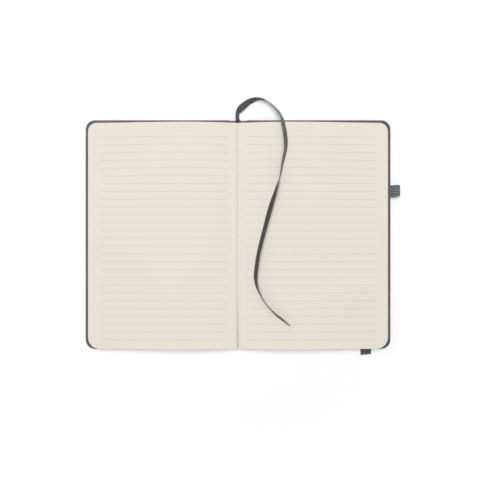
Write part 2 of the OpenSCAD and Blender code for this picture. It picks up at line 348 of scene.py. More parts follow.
def keep_place(name):
    """Names the new piece and moves its place and size into its mesh."""
    bpy.ops.object.transform_apply(location=True, rotation=True, scale=True)
    piece = bpy.context.object
    piece.name = piece.data.name = name
    return piece


def block(name, low, high):
    """A block between two corners, to be shaped further."""
    select_nothing()
    middle = [(a + b) / 2 for a, b in zip(low, high)]
    size = [b - a for a, b in zip(low, high)]
    bpy.ops.mesh.primitive_cube_add(size=1, location=middle, scale=size)
    return keep_place(name)


def near(a, b, slack=CLOSE):
    return abs(a - b) < slack


def pick(piece, kind, test):
    """In edit mode, selects the corners, edges or faces whose middle passes the test."""
    bpy.ops.mesh.select_mode(type=kind)
    bpy.ops.mesh.select_all(action="DESELECT")
    work = bmesh.from_edit_mesh(piece.data)
    work.normal_update()
    for part in {"VERT": work.verts, "EDGE": work.edges, "FACE": work.faces}[kind]:
        corners = [part] if kind == "VERT" else part.verts
        if test(sum((c.co for c in corners), Vector()) / len(corners), part):
            part.select_set(True)
    work.select_flush_mode()
    bmesh.update_edit_mesh(piece.data)


def pick_all():
    bpy.ops.mesh.select_all(action="SELECT")


def shift(by):
    bpy.ops.transform.translate(value=by)


def stretch(by, middle=(0, 0, 0)):
    """Scales what is picked, by one factor for each axis, out from the middle."""
    bpy.ops.transform.resize(value=by, center_override=middle)


def extrude(by):
    """Draws new faces out of the picked ones, or out of the picked edges."""
    bpy.ops.mesh.extrude_region_move(TRANSFORM_OT_translate={"value": by})


print("places count as the same within", round(CLOSE / MM, 3), "mm")

# %% [markdown]
# ## Cover wrap
# The wrap is one piece of coated cloth glued round two boards and the strip in the spine. It is
# turned in along all its edges. We model half of it and mirror the half, with the seam in the
# middle of the spine. A block round the board is opened at the top, its rims are softened, and its
# hinge side is drawn out to the spine.

# %% Wrap around one board
CORNER_R = 8.5 * MM
RIM_R = 0.7 * MM
TURN_IN = 15 * MM

back_wrap = block("back_wrap", (board_x, -cover_end, 0), (half_width, cover_end, cover_high.z))
set_mode("EDIT")
pick(back_wrap, "EDGE", lambda p, e: near(p.x, half_width) and near(abs(p.y), cover_end))
bpy.ops.mesh.bevel(offset=CORNER_R, segments=10)
pick(back_wrap, "EDGE", lambda p, e: len(e.link_faces) == 2 and p.x > board_x + MM and (
    near(p.z, 0) or near(p.z, cover_high.z)))
bpy.ops.mesh.bevel(offset=RIM_R, segments=3)
pick(back_wrap, "FACE", lambda p, f: near(p.z, cover_high.z) and f.normal.z > STRAIGHT)
bpy.ops.mesh.inset(thickness=TURN_IN - RIM_R)
bpy.ops.mesh.delete(type="FACE")
pick(back_wrap, "FACE", lambda p, f: near(p.x, board_x) and abs(f.normal.x) > STRAIGHT)
bpy.ops.mesh.delete(type="FACE")
set_mode("OBJECT")
print("open wrap:", len(back_wrap.data.polygons), "faces")

# %% [markdown]
# The open edge at the hinge side now has the outline of the wrap: flat below, with a rounded rim
# at the head and at the tail. We extrude its lower part in short steps past the hinge line, where
# it has to bend, and in long ones to the middle of the spine. The spine is a little shorter than
# the covers, so those steps are scaled, and a shallow groove is pressed along the hinge line.

# %% Joint and half the spine
HINGE_STEPS = [8.6, 8.2, 7.8, 7.5, 7.2, 6.8, 6.4, 6, 4, 2, 0]
SPINE_FROM = 7.2 * MM
GROOVE = 0.35 * MM
GROOVE_HALF_W = 0.45 * MM
HAIR = 0.01 * MM
NEARLY = 0.1 * MM
spine_end = spine_high.y

set_mode("EDIT")
pick(back_wrap, "EDGE", lambda p, e: len(e.link_faces) == 1 and near(p.x, board_x)
     and p.z < RIM_R + HAIR)
at = board_x
for step in HINGE_STEPS:
    extrude((step * MM - at, 0, 0))
    at = step * MM
pick(back_wrap, "VERT", lambda p, v: p.x < SPINE_FROM + HAIR)
stretch((1, spine_end / cover_end, 1))
pick(back_wrap, "VERT", lambda p, v: near(p.x, hinge_x, GROOVE_HALF_W) and p.z < HAIR)
shift((0, 0, GROOVE))
set_mode("OBJECT")
print("wrap reaches", round(min(v.co.x for v in back_wrap.data.vertices) / MM, 2), "mm")

# %% [markdown]
# At the head and at the tail the wrap is turned in over the strip as well. The upper edge of the
# rim is extruded up to the lining and then inwards, where the leaves cover it.

# %% Turn-in over the spine
SPINE_TURN_IN = 12 * MM

set_mode("EDIT")
for side in (1, -1):
    pick(back_wrap, "EDGE", lambda p, e: len(e.link_faces) == 1 and p.x < board_x - HAIR
         and near(p.z, RIM_R, NEARLY) and p.y * side > spine_end - MM
         and abs(e.verts[0].co.x - e.verts[1].co.x) > NEARLY)
    extrude((0, 0, hinge_z - RIM_R))
    extrude((0, -side * SPINE_TURN_IN, 0))
pick_all()
bpy.ops.mesh.normals_make_consistent(inside=False)
set_mode("OBJECT")
print("wrap with its turn-ins:", len(back_wrap.data.polygons), "faces")

# %% [markdown]
# Last, Solidify gives the sheet its thickness on the inner side. It is an open sheet until then,
# so the side that faces out is read from its largest face, the underside of the cover. The book
# is the same on both sides, so each right-hand piece is copied and scaled by -1 across. That turns
# its faces inside out, so they are flipped back.

# %% Thickness of the wrap and its left-hand copy
SKIN_T = 0.3 * MM


def flip(piece):
    """Turns all faces of the piece round."""
    choose(piece)
    set_mode("EDIT")
    pick_all()
    bpy.ops.mesh.flip_normals()
    set_mode("OBJECT")


def mirrored(piece, name):
    """Copies a piece with its mesh, turns it over to the left-hand side and reports both."""
    choose(piece)
    bpy.ops.object.duplicate(linked=False)
    stretch((-1, 1, 1))
    copy = keep_place(name)
    flip(copy)
    report(piece)
    report(copy)
    return copy


if max(back_wrap.data.polygons, key=lambda f: f.area).normal.z > 0:
    flip(back_wrap)
with_modifier(back_wrap, "SOLIDIFY", thickness=SKIN_T, offset=-1)
smooth_sides(back_wrap, degrees=40)
front_wrap = mirrored(back_wrap, "front_wrap")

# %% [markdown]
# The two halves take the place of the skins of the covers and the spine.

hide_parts("back_cover_skin", "spine_skin")
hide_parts("front_cover_skin")
for piece, cover, side in ((back_wrap, "back_cover", 1), (front_wrap, "front_cover", -1)):
    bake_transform(piece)

# %% [markdown]
# ## Pressed leaves
# Each half of the book is a stack of about fifty leaves. Most of them lie pressed together on the
# cover: they climb out of the gutter, fall slowly to the fore-edge, and each one ends a little
# further in than the one below it. We start from a flat plan with rounded corners, cut it across
# where the arch bends, and draw it up in gatherings, each one moved in at the fore-edge. Then
# each row of corners is scaled down onto the cover by the height of the arch there, which bends
# all the leaves at once.

# %% Flat plan of a leaf
HEAD_CORNER_R = 7.5 * MM
TAIL_CORNER_R = 10 * MM
LEAF_CUTS = [9, 10.5, 12, 14, 16.5, 19.5, 23, 27, 31.5, 36.5, 42, 48, 55, 62, 70, 78, 86, 94, 102,
             109, 115, 120, 124]


def cut_across(x):
    """Cuts the whole piece in edit mode along a plane of constant X."""
    pick_all()
    bpy.ops.mesh.bisect(plane_co=(x, 0, 0), plane_no=(1, 0, 0))


def leaf_plan(name, edge, z):
    """A leaf seen from above, with its rounded corners and its cuts, left in edit mode."""
    select_nothing()
    middle = ((leaf_start + edge) / 2, (tail_edge + leaf_high.y) / 2, z)
    bpy.ops.mesh.primitive_plane_add(size=1, location=middle)
    stretch((edge - leaf_start, leaf_high.y - tail_edge, 1), middle)
    piece = keep_place(name)
    set_mode("EDIT")
    for radius, end in ((HEAD_CORNER_R, leaf_high.y), (TAIL_CORNER_R, tail_edge)):
        pick(piece, "VERT", lambda p, v: near(p.x, edge) and near(p.y, end))
        bpy.ops.mesh.bevel(offset=radius, segments=8, affect="VERTICES")
    for x in LEAF_CUTS:
        cut_across(x * MM)
    pick_all()
    return piece


print("a leaf is cut at", len(LEAF_CUTS), "places")

# %% [markdown]
# The rows of corners are picked one after the other. All that lies beyond the last cut, with the
# round corners, moves as one row.

# %% Stack of pressed leaves on the right
GATHERINGS = 6
bed_top = CREST_Z - LOOSE_T
corner_x = leaf_high.x - TAIL_CORNER_R
last_cut = LEAF_CUTS[-1] * MM
leaf_rows = [leaf_start] + [x * MM for x in LEAF_CUTS] + [corner_x]


def pick_row(piece, x):
    pick(piece, "VERT", lambda p, v: p.x > last_cut + MM if x == corner_x
         else near(p.x, x, NEARLY))


right_pages = leaf_plan("right_pages", leaf_high.x, leaf_bed)
rise = (bed_top - leaf_bed) / GATHERINGS
for level in range(1, GATHERINGS + 1):
    top = leaf_bed + level * rise
    extrude((0, 0, rise))
    pick(right_pages, "VERT", lambda p, v: near(p.z, top) and p.x > corner_x - FAN_W)
    shift((-FAN_W / GATHERINGS, 0, 0))
    pick(right_pages, "FACE", lambda p, f: near(p.z, top) and abs(f.normal.z) > STRAIGHT)
for x in leaf_rows:
    pick_row(right_pages, x)
    share = (pressed_height(x) - LOOSE_T - leaf_bed) / (bed_top - leaf_bed)
    stretch((1, 1, share), (0, 0, leaf_bed))
pick_all()
bpy.ops.mesh.normals_make_consistent(inside=False)
set_mode("OBJECT")
print(GATHERINGS, "gatherings, each", round(rise / MM, 2), "mm high")

# %% [markdown]
# The sides of the stack show the cut edges of the leaves. Their UV map runs along them one way
# and through the stack the other way, counted in leaves, so that the thin lines between leaves
# follow the arch. Faces that look up get the first finish of the piece and cut edges the second.

# %% Map of the leaf edges
LEAVES = 50
LOOKS_UP = 0.4


def fresh_map(piece):
    """An empty UV map that takes the place of the one that came with the primitive."""
    while piece.data.uv_layers:
        piece.data.uv_layers.remove(piece.data.uv_layers[0])
    return piece.data.uv_layers.new(name="own_map")


def lay_uv(piece, place_of):
    """Writes the UV map from a rule that gives two numbers for the place of each corner."""
    layer = fresh_map(piece)
    for loop in piece.data.loops:
        layer.data[loop.index].uv = place_of(piece.data.vertices[loop.vertex_index].co)


def edge_map(co):
    x = min(max(abs(co.x), leaf_start), top_edge)
    share = (co.z - leaf_bed) / (pressed_height(x) - LOOSE_T - leaf_bed)
    return ((co.y - abs(co.x)) / MM, min(max(share, 0), 1) * LEAVES)


lay_uv(right_pages, edge_map)
for face in right_pages.data.polygons:
    face.material_index = 0 if face.normal.z > LOOKS_UP and face.center.z > leaf_bed + MM else 1
smooth_sides(right_pages, degrees=30)
left_pages = mirrored(right_pages, "left_pages")

# %% [markdown]
# ## Loose leaves
# While the book lies open, its upper leaves arch up off the pressed ones with air between them.
# They are single sheets here. One sheet is modelled flat, given its thickness and bent row by
# row. Each copy arches a little higher than the one below, and the top one is the ruled page.

# %% Loose leaves on the right
SHEETS = 6
SHEET_T = 0.045 * MM
UNEVEN = 0.12 * MM
ARCH_GROWTH = 1.3
sheet_step = LOOSE_T / SHEETS


def join(pieces, name):
    """Joins the pieces into the last one, under a new name."""
    choose(pieces[-1])
    for piece in pieces:
        piece.select_set(True)
    bpy.ops.object.join()
    return keep_place(name)


sheets = []
for number in range(1, SHEETS + 1):
    edge = top_edge - (SHEETS - number) * UNEVEN * (-1) ** number
    sheet = leaf_plan(f"sheet_{number}", edge, 0)
    with_modifier(sheet, "SOLIDIFY", thickness=SHEET_T, offset=-1)
    set_mode("EDIT")
    for x in leaf_rows:
        pick_row(sheet, x)
        place = min(x, last_cut)
        height = (pressed_height(place) - LOOSE_T + number * sheet_step
                  + arch(place) * (number / SHEETS) ** ARCH_GROWTH)
        shift((0, 0, height))
    set_mode("OBJECT")
    lay_uv(sheet, lambda co: ((co.y - abs(co.x)) / MM, 0.5))
    for face in sheet.data.polygons:
        face.material_index = 0 if abs(face.normal.z) > LOOKS_UP else 1
    sheets.append(sheet)
right_sheets = join(sheets, "right_sheets")
smooth_sides(right_sheets, degrees=30)
left_sheets = mirrored(right_sheets, "left_sheets")

# %% [markdown]
# ## Endpapers
# The sheet pasted inside each cover shows only where the leaves leave it bare. It has the plan of
# a leaf, and a second layer under it fills the room between the turn-ins of the wrap.

# %% Endpapers
ENDPAPER_T = 0.2 * MM
FIT_GAP = 0.2 * MM
fill_edge = TURN_IN + FIT_GAP

sheet = leaf_plan("sheet", leaf_high.x, leaf_bed)
with_modifier(sheet, "SOLIDIFY", thickness=ENDPAPER_T, offset=-1)
filling = block("filling", (leaf_start, fill_edge - cover_end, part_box("back_endpaper")[0].z),
                (half_width - fill_edge, cover_end - fill_edge, leaf_bed - ENDPAPER_T))
right_endpaper = join([filling, sheet], "right_endpaper")
left_endpaper = mirrored(right_endpaper, "left_endpaper")

# %% [markdown]
# ## Gutter
# Between the two stacks the leaves fold down over the spine and meet in the gutter, in two halves
# with a fine slit between them. When the real book shuts, this width of the leaves turns up into
# the stacks. Here the two halves lie on the spine. Their cut edges are the faces that look to the
# head and to the tail.

# %% Leaves in the gutter
GUTTER_CUTS = [0.05, 0.18, 0.4, 0.7, 1.1, 1.6, 2.2, 2.9, 3.7, 4.5, 5.3, 6.2, 6.9]
SEAM = 0.15 * MM

right_gutter = block("right_gutter", (0, tail_edge, hinge_z), (leaf_start, leaf_high.y, GUTTER_Z))
set_mode("EDIT")
for x in GUTTER_CUTS:
    cut_across(x * MM)
for x in [x * MM for x in GUTTER_CUTS] + [leaf_start]:
    pick(right_gutter, "VERT", lambda p, v: near(p.x, x) and p.z > GUTTER_Z - SEAM)
    shift((0, 0, pressed_height(x) + arch(x) - GUTTER_Z))
set_mode("OBJECT")


def gutter_map(co):
    x = abs(co.x)
    share = (co.z - hinge_z) / (pressed_height(x) + arch(x) - hinge_z)
    return ((co.y - x) / MM, min(max(share, 0), 1) * LEAVES)


lay_uv(right_gutter, gutter_map)
for face in right_gutter.data.polygons:
    face.material_index = 1 if abs(face.normal.y) > STRAIGHT else 0
smooth_sides(right_gutter, degrees=30)
left_gutter = mirrored(right_gutter, "left_gutter")

# %% [markdown]
# The stacks and the endpapers ride on their covers. The loose leaves ride there too, and so do the
# halves of the gutter on the spine.

for piece, node, body, slot in (
        (right_pages, "right_leaves", "back_cover", "paper"),
        (left_pages, "left_leaves", "front_cover", "paper"),
        (right_sheets, "right_loose_leaves", "back_cover", "paper"),
        (left_sheets, "left_loose_leaves", "front_cover", "paper"),
        (right_gutter, "gutter_leaves", "spine", "paper"),
        (left_gutter, "gutter_leaves", "spine", "paper"),
        (right_endpaper, "back_endpaper", "back_cover", "endpaper"),
        (left_endpaper, "front_endpaper", "front_cover", "endpaper")):
    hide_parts(node)
    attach(piece, body)
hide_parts("right_ruling")
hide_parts("left_ruling")
for piece in (right_sheets, left_sheets):
    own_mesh(piece)
for piece in (right_gutter, left_gutter):
    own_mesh(piece)
print("leaves and endpapers replace 9 CAD nodes")

# %% [markdown]
# ## Elastic webbing
# The closure band and the pen loop are flat woven elastic. Each one is made as a strap: a short
# edge is extruded from station to station along its way, and Solidify gives it its thickness.
# The UV map counts millimetres across and along the strap, for the weave.

# %% Strap from stations
ROUNDED_SHARE = 0.3


def strap(name, stations, across, width, thickness):
    """A flat strap whose middle line runs through the stations."""
    select_nothing()
    bpy.ops.mesh.primitive_plane_add(size=width, location=(0, 0, 0))
    piece = keep_place(name)
    side = Vector(across)
    set_mode("EDIT")
    pick(piece, "VERT", lambda p, v: (p.y if side.x else p.x) > 0)
    bpy.ops.mesh.delete(type="VERT")
    pick_all()
    shift(stations[0] + (Vector((0, width / 2, 0)) if side.x else Vector((width / 2, 0, 0))))
    for a, b in zip(stations, stations[1:]):
        extrude(b - a)
    set_mode("OBJECT")
    distance = running_length(stations)
    layer = fresh_map(piece)
    for loop in piece.data.loops:
        co = piece.data.vertices[loop.vertex_index].co
        flat = co - side * (co - stations[0]).dot(side)
        station = min(range(len(stations)), key=lambda i: (flat - stations[i]).length)
        layer.data[loop.index].uv = ((co - stations[0]).dot(side) / MM, distance[station] / MM)
    with_modifier(piece, "SOLIDIFY", thickness=thickness, offset=0)
    with_modifier(piece, "BEVEL", width=thickness * ROUNDED_SHARE, segments=2,
                  limit_method="ANGLE", angle_limit=math.radians(60))
    smooth_sides(piece, degrees=50)
    return piece


print("made: strap")

# %% [markdown]
# The band has a slot near the head and one near the tail of the back cover. Between them it lies
# slack under the cover, and its spare length is folded past the tail, where the photograph shows
# it. Both ends are glued under the endpaper. Its way goes through the head slot, along below the
# cover, and through the tail slot as the mirror image of the first.

# %% Closure band
band_low, band_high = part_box("closure_band")
BAND_T = 0.5 * MM
BAND_TUCK = 22 * MM
TAIL_DIP = 16 * MM
SLACK_FROM = 20 * MM
EASE, TURN, CLIP = 0.3 * MM, 0.5 * MM, 0.1 * MM
FOLD_R, FOLD_Y, FOLD_Z = 0.25 * MM, 0.18 * MM, 0.07 * MM
slot_y = band_high.y - BAND_T / 2
band_x = (band_low.x + band_high.x) / 2
under, lowest = -BAND_T / 2, -1.5 * BAND_T
tucked = band_high.z - BAND_T / 2
fold_y = band_low.y + BAND_T
into_head = [
    (slot_y - BAND_TUCK, tucked), (slot_y - MM, tucked), (slot_y - EASE, tucked - CLIP),
    (slot_y, tucked - TURN), (slot_y, EASE), (slot_y - CLIP, under + CLIP),
    (slot_y - TURN, under),
]
below = [
    (SLACK_FROM, under), (TAIL_DIP - slot_y, under), (0.5 * TAIL_DIP - slot_y, lowest),
    (fold_y, lowest), (fold_y - FOLD_Y, lowest + FOLD_Z), (fold_y - FOLD_R, (under + lowest) / 2),
    (fold_y - FOLD_Y, under - FOLD_Z), (fold_y, under),
]
into_tail = [(-y, z) for y, z in reversed(into_head)]
band_way = into_head + below + into_tail
band = strap("closure_elastic", [Vector((band_x, y, z)) for y, z in band_way], (1, 0, 0),
             band_high.x - band_low.x, BAND_T)
print("the band is", round(running_length([Vector((0, *p)) for p in band_way])[-1] / MM), "mm long")

# %% [markdown]
# The fold is drawn in a little, pulled out past the tail and slanted, by moving the corners there.

# %% Fold of the band
FOLD_NARROWS = 0.95
FOLD_OUT = 0.4 * MM
FOLD_SLANT = 1 * MM

set_mode("EDIT")
pick(band, "VERT", lambda p, v: p.y < fold_y + EASE)
stretch((FOLD_NARROWS, 1, 1), (band_x, fold_y, 0))
shift((0, -FOLD_OUT, 0))
pick(band, "VERT", lambda p, v: p.y < fold_y + EASE and p.x > band_x)
shift((0, FOLD_SLANT, 0))
set_mode("OBJECT")
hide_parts("closure_band")
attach(band, "back_cover")
report(band)

# %% [markdown]
# The pen loop is a short strap folded on itself. Its two ends lie together under the endpaper,
# and outside the cover it opens into a drop shape: a circle that is drawn to a point where it
# leaves the cover. After the photograph, it sits a little lower than the CAD one and reaches less
# far.

# %% Pen loop
loop_low, loop_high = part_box("pen_loop")
LOOP_T = 0.7 * MM
LOOP_MIDDLE = 2.6 * MM
LOOP_H = 6.7 * MM
LOWER, SHORTER = 0.7 * MM, 0.3 * MM
POINTED, FULL = 0.35, 1.09
TURN_TO, TURN_STEP = 165, 15
tail_z = cover_high.z - LOOP_T
loop_y = (loop_low.y + loop_high.y) / 2 - LOWER
reach = (loop_high.x - half_width) / 2 - SHORTER
round_way = []
for degrees in range(-TURN_TO, TURN_TO + 1, TURN_STEP):
    a = math.radians(degrees)
    round_way.append((
        half_width + reach + (reach - LOOP_T / 2) * math.cos(a),
        LOOP_MIDDLE + (tail_z - LOOP_MIDDLE) * (1 - math.cos(a)) / 2
        + (LOOP_H - LOOP_T) / 2 * math.sin(a) * abs(math.cos(a / 2)) ** POINTED * FULL,
    ))
loop_way = ([(loop_low.x, tail_z - LOOP_T / 2), (half_width, tail_z - LOOP_T / 2)] + round_way
            + [(half_width, tail_z + LOOP_T / 2), (loop_low.x, tail_z + LOOP_T / 2)])
pen_loop = strap("pen_loop_elastic", [Vector((x, loop_y, z)) for x, z in loop_way], (0, 1, 0),
                 loop_high.y - loop_low.y, LOOP_T)
print("the loop reaches", round(2 * reach / MM, 1), "mm past the cover")

# %% [markdown]
# Elastic gets narrower where it is stretched, so the loop is scaled down in three steps towards
# its round end, from a middle that lies beside it.

# %% Taper of the loop
NARROWS = 0.98
NARROWS_FROM = (0.3, 0.55, 0.8)
BESIDE = 8 * MM

set_mode("EDIT")
for share in NARROWS_FROM:
    pick(pen_loop, "VERT", lambda p, v: p.x > half_width + 2 * share * reach)
    stretch((1, NARROWS, 1), (0, loop_y + BESIDE, 0))
set_mode("OBJECT")
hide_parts("pen_loop")
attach(pen_loop, "back_cover")
report(pen_loop)

# %% [markdown]
# ## Nodes for finishes
# Every finish is a small network of nodes on the piece's own coordinates, so it needs no picture
# and keeps its scale in real millimetres. Colours are written as screen values, which are easy to
# compare with a photograph, and turned into the linear ones that a shader takes.

# %% Colours and finishes
def tone(red, green, blue):
    """Turns screen values from 0 to 255 into a linear colour."""
    return tuple(((c / 255 + 0.055) / 1.055) ** 2.4 for c in (red, green, blue)) + (1,)


def new_finish(name, roughness, specular):
    finish = bpy.data.materials.new(name)
    finish.use_nodes = True
    shader = finish.node_tree.nodes["Principled BSDF"]
    shader.inputs["Roughness"].default_value = roughness
    shader.inputs["Specular IOR Level"].default_value = specular
    return finish, finish.node_tree, shader


def paint(shader, colour):
    """Takes the colour of the finish from another node."""
    shader.id_data.links.new(colour, shader.inputs["Base Color"])


def dress(pieces, *finishes):
    """Gives the pieces their finishes; each face already holds the number of its own one."""
    for piece in pieces:
        for finish in finishes:
            piece.data.materials.append(finish)


print("half grey on the screen is", round(tone(128, 128, 128)[0], 2), "for a shader")

# %% [markdown]
# Sums, soft steps and blends are single nodes. With a short function for each of them, a finish
# can be written as a few lines that read like a rule.

# %% Sums, steps and blends
def feed(tree, slot, value):
    """Joins another node's output to a slot, or sets the slot to a number or colour."""
    if isinstance(value, bpy.types.NodeSocket):
        tree.links.new(value, slot)
    elif value is not None:
        slot.default_value = value


def maths(tree, operation, first, second=None, third=None, clamp=False):
    node = tree.nodes.new("ShaderNodeMath")
    node.operation = operation
    node.use_clamp = clamp
    for slot, value in zip(node.inputs, (first, second, third)):
        feed(tree, slot, value)
    return node.outputs[0]


def soft_step(tree, value, start, end):
    """Goes smoothly from 0 at start to 1 at end, upwards or downwards."""
    node = tree.nodes.new("ShaderNodeMapRange")
    node.interpolation_type = "SMOOTHSTEP"
    feed(tree, node.inputs["Value"], value)
    node.inputs["From Min"].default_value = start
    node.inputs["From Max"].default_value = end
    return node.outputs["Result"]


def blend_tones(tree, share, first, second):
    node = tree.nodes.new("ShaderNodeMix")
    node.data_type = "RGBA"
    for number, value in ((0, share), (6, first), (7, second)):
        feed(tree, node.inputs[number], value)
    return node.outputs[2]


print("made: feed, maths, soft_step, blend_tones")

# %% [markdown]
# Patterns start from a place, either the Object coordinates or the UV map. Scaling it sets the
# size of the pattern, noise gives the grain, and a bump lifts it off the surface.

# %% Places, grain and bumps
def scaled_place(tree, source, scale=1):
    """Object coordinates or the UV map, stretched by one scale or by one for each axis."""
    node = tree.nodes.new("ShaderNodeMapping")
    node.inputs["Scale"].default_value = scale if isinstance(scale, tuple) else (scale,) * 3
    tree.links.new(tree.nodes.new("ShaderNodeTexCoord").outputs[source], node.inputs["Vector"])
    return node.outputs["Vector"]


def axes(tree, source, scale=1):
    """The X, Y and Z of the scaled place, each as its own output."""
    node = tree.nodes.new("ShaderNodeSeparateXYZ")
    tree.links.new(scaled_place(tree, source, scale), node.inputs[0])
    return node.outputs


def grain(tree, source, scale, detail=3.0, roughness=0.5):
    """Noise of one bump to each unit of the scaled place."""
    node = tree.nodes.new("ShaderNodeTexNoise")
    node.inputs["Scale"].default_value = 1
    node.inputs["Detail"].default_value = detail
    node.inputs["Roughness"].default_value = roughness
    tree.links.new(scaled_place(tree, source, scale), node.inputs["Vector"])
    return node.outputs[0]


def raise_by(tree, shader, height, distance):
    """Bumps the surface by a height from 0 to 1 times a distance."""
    node = tree.nodes.new("ShaderNodeBump")
    node.inputs["Distance"].default_value = distance
    tree.links.new(height, node.inputs["Height"])
    tree.links.new(node.outputs["Normal"], shader.inputs["Normal"])


print("made: scaled_place, axes, grain, raise_by")

# %% [markdown]
# ## Paper
# All leaves are uncoated ivory paper. Fine noise gives the fibres, and a broad one a faint
# clouding, so that a large pale surface doesn't look like plastic.

# %% Plain paper
PAPER = tone(231, 225, 212)
PAPER_CLOUD = tone(226, 220, 206)
CLOUDS_PER_M, FIBRES_PER_M = 22, 2600
CLOUD_SHARE = 0.7
FIBRE_H = 0.02 * MM


def new_paper(name):
    """A finish of this paper, with its nodes, its shader and its colour."""
    finish, tree, shader = new_finish(name, roughness=0.8, specular=0.2)
    cloud = grain(tree, "Object", CLOUDS_PER_M, detail=2)
    fibres = grain(tree, "Object", FIBRES_PER_M, detail=4, roughness=0.6)
    colour = blend_tones(tree, maths(tree, "MULTIPLY", cloud, CLOUD_SHARE), PAPER, PAPER_CLOUD)
    paint(shader, colour)
    raise_by(tree, shader, fibres, FIBRE_H)
    return finish, tree, shader, colour


plain_paper, tree, shader, colour = new_paper("plain_paper")
print("plain paper with", len(tree.nodes), "nodes")

# %% [markdown]
# The top leaves have pale grey lines about 7 mm apart. They are worked out from the Object
# coordinates: the distance to the nearest line decides how much ink shows, and the lines stop
# short of the gutter and the fore-edge.

# %% Ruled paper
INK = tone(203, 195, 176)
LINE_PITCH = 7.05 * MM
LINE_W = 0.32 * MM
LINES = 27
FIRST_LINE = leaf_high.y - 13 * MM
LINE_FROM = leaf_start
LINE_TO = top_edge - 10.2 * MM
END_FADE = 0.2 * MM
SOFTNESS = 0.3


def ruled_share(tree):
    """1 on a printed line and 0 beside it."""
    place = axes(tree, "Object")
    x = maths(tree, "ABSOLUTE", place["X"])
    count = maths(tree, "DIVIDE", maths(tree, "SUBTRACT", FIRST_LINE, place["Y"]), LINE_PITCH)
    off = maths(tree, "ABSOLUTE", maths(tree, "SUBTRACT", count, maths(tree, "ROUND", count)))
    width = LINE_W / LINE_PITCH / 2
    line = soft_step(tree, off, width * (1 + SOFTNESS), width * (1 - SOFTNESS))
    for value, bare, printed in (
            (count, -0.5, -0.4), (count, LINES - 0.5, LINES - 0.6),
            (x, LINE_FROM, LINE_FROM + END_FADE), (x, LINE_TO, LINE_TO - END_FADE)):
        line = maths(tree, "MULTIPLY", line, soft_step(tree, value, bare, printed))
    return line


ruled_paper, tree, shader, colour = new_paper("ruled_paper")
paint(shader, blend_tones(tree, ruled_share(tree), colour, INK))
print(LINES, "lines from", round(FIRST_LINE / MM, 1), "mm down")

# %% [markdown]
# In the crease the paper is painted a little brighter, painted light against the shade of the fold,
# and towards the tail a warm painted shade grows in the crease. Both painted tones fade out within
# two millimetres of the slit.

# %% Paper in the crease
FOLD_PAINTED_SHADE = tone(222, 188, 150)
FOLD_PAINTED_LIGHT = tone(245, 240, 227)
TINT_FROM, TINT_TO = 0.4 * MM, 1.4 * MM
TAIL_FROM, TAIL_TO = 45 * MM, 100 * MM
FOLD_SHADE_SHARE = 0.4

gutter_paper_painted_shading, tree, shader, colour = new_paper("gutter_paper_painted_shading")
place = axes(tree, "Object")
beside = soft_step(tree, maths(tree, "ABSOLUTE", place["X"]), TINT_FROM, TINT_TO)
towards_tail = soft_step(tree, maths(tree, "MULTIPLY", place["Y"], -1), TAIL_FROM, TAIL_TO)
# painted light in the crease, and painted shade in it that grows towards the tail
inside = blend_tones(tree, maths(tree, "MULTIPLY", towards_tail, FOLD_SHADE_SHARE), FOLD_PAINTED_LIGHT, FOLD_PAINTED_SHADE)
paint(shader, blend_tones(tree, beside, inside, colour))
print("tinted crease is", round(2 * TINT_TO / MM, 1), "mm wide")

# %% [markdown]
# Round the stack we look at cut edges. Each leaf is one unit of the map, so a wave through the stack
# paints shade in the gaps between the leaves, and noise stretched far along them makes them uneven,
# as cut paper is. The cut edges are painted lighter than the paper of the pages: painted light
# against the shade on the sloping fore-edge.

# %% Cut edges of the leaves
# the cut edges are painted lighter than the paper of the pages: painted light
EDGE_PAINTED_LIGHT = tone(248, 244, 234)
EDGE_GAP_SHADE_AND_UNEVEN = tone(220, 212, 197)
GAP_FROM, GAP_SHARE, UNEVEN_SHARE = 0.3, 0.6, 0.45

leaf_edges, tree, shader = new_finish("leaf_edges", roughness=0.85, specular=0.2)
uneven = grain(tree, "UV", (0.03, 1.4, 1), detail=2, roughness=0.7)
wave = maths(tree, "SINE", maths(tree, "MULTIPLY", axes(tree, "UV")["Y"], 2 * math.pi))
# painted shade in the gaps between the leaves, mixed with uneven tone from noise
gap_shade = maths(tree, "MULTIPLY", maths(tree, "SUBTRACT", wave, GAP_FROM, clamp=True), GAP_SHARE)
share = maths(tree, "ADD", gap_shade, maths(tree, "MULTIPLY", uneven, UNEVEN_SHARE), clamp=True)
paint(shader, blend_tones(tree, share, EDGE_PAINTED_LIGHT, EDGE_GAP_SHADE_AND_UNEVEN))
raise_by(tree, shader, maths(tree, "SUBTRACT", 1, share), 0.06 * MM)

dress([right_pages, left_pages], plain_paper, leaf_edges)
dress([right_sheets, left_sheets], ruled_paper, leaf_edges)
dress([right_gutter, left_gutter], gutter_paper_painted_shading, leaf_edges)
print("paper on the leaves of both halves")

# %% [markdown]
# ## Coated wrap
# The cover is cloth with a thin matt coating, pressed with a very fine grain. Cells of a Voronoi
# pattern a third of a millimetre wide make the grain, and a broad noise varies colour and
# roughness slightly, where hands have polished it.

# %% Coated wrap
WRAP = tone(75, 76, 76)
WRAP_WORN = tone(89, 90, 90)
GRAIN_PER_M, WEAR_PER_M = 2800, 35
WORN_FROM, WORN_TO = 0.45, 0.75
SMOOTHEST, WEAR_ROUGHENS, WEAR_RAISES = 0.38, 0.25, 0.3

